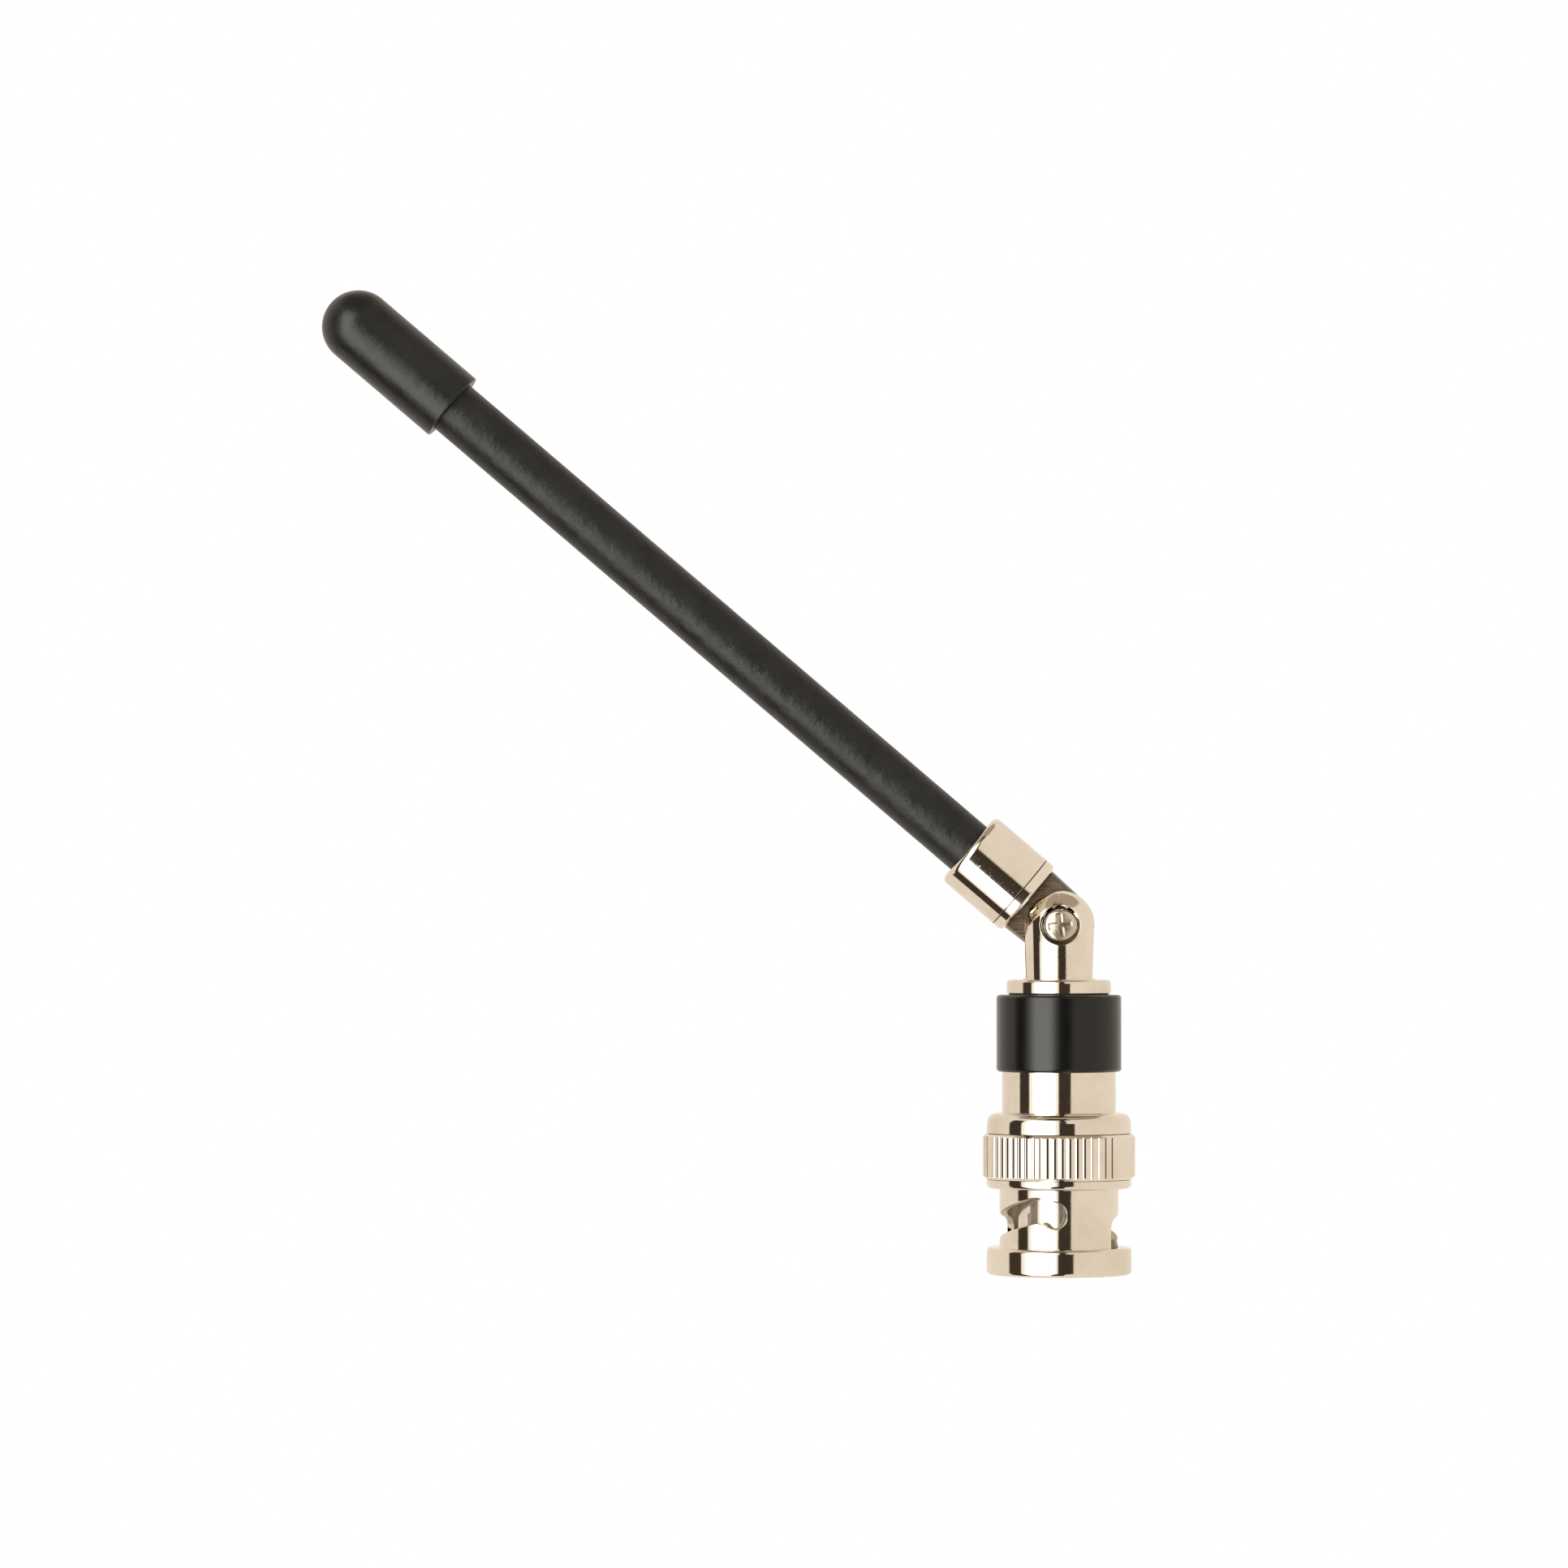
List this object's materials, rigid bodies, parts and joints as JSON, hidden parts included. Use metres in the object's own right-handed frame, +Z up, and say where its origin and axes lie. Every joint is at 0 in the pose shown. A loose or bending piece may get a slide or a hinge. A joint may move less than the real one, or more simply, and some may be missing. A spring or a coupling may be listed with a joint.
{
  "type": "omnidirectional antenna",
  "caption": "Short black whip antenna on a nickel elbow joint, with a bayonet plug and knurled coupling nut.",
  "frame": {"origin": "centre of the bayonet plug's open end, on its axis", "axes": "+Z up the plug's axis towards the elbow, -X the side that the whip leans to at rest, +Y along the elbow's pivot away from the screw's head"},
  "size_m": [0.0775, 0.0144, 0.0939],
  "materials": {
    "nickel_plate": "bright nickel plate, polished",
    "milled_nickel": "satin, milled flats",
    "contact_nickel": "bright nickel plate, turned",
    "gold_plate": "polished gold plate",
    "whip_brass": "satin",
    "spring_steel": "satin",
    "cap_rubber": "matte",
    "rod_skin": "matte, finely mottled",
    "core_plastic": "matte",
    "collar_plastic": "satin, turned",
    "seal_rubber": "matte",
    "ptfe": "matte, slightly waxy",
    "silicone": "matte"
  },
  "bodies": {
    "plug_body": {"knuckle_fork": "nickel_plate", "pivot_screw": "nickel_plate", "pivot_washers": "spring_steel", "seal_washer": "seal_rubber", "insulator_collar": "collar_plastic", "stem_washer": "spring_steel", "stem_nut": "nickel_plate", "feed_stud": "whip_brass", "rear_body": "nickel_plate", "rear_insulator": "ptfe", "front_insulator": "ptfe", "centre_pin": "gold_plate", "outer_contact": "contact_nickel", "gasket": "silicone", "wave_spring": "spring_steel"},
    "whip": {"knuckle_tongue": "milled_nickel", "ferrule": "nickel_plate", "whip_core": "whip_brass", "core_tube": "core_plastic", "rod_sleeve": "rod_skin", "tip_cap": "cap_rubber"},
    "nut_carrier": {"thrust_washer": "spring_steel"},
    "bayonet_nut": {"coupling_nut": "nickel_plate"}
  },
  "joints": [
    {"name": "whip_tilt", "type": "hinge", "parent": "plug_body", "child": "whip", "pos_m": [0, 0, 0.03325], "axis": [0, 1, 0], "range_deg": [-40.5, 139.5]},
    {"name": "nut_pull", "type": "slide", "parent": "plug_body", "child": "nut_carrier", "axis": [0, 0, -1], "range_m": [0, 0.0008], "stiffness_N_per_m": 800, "springref_m": -0.001, "deforming": ["wave_spring"]},
    {"name": "nut_turn", "type": "hinge", "parent": "nut_carrier", "child": "bayonet_nut", "pos_m": [0, 0, 0.01435], "axis": [0, 0, 1], "continuous": true}
  ]
}
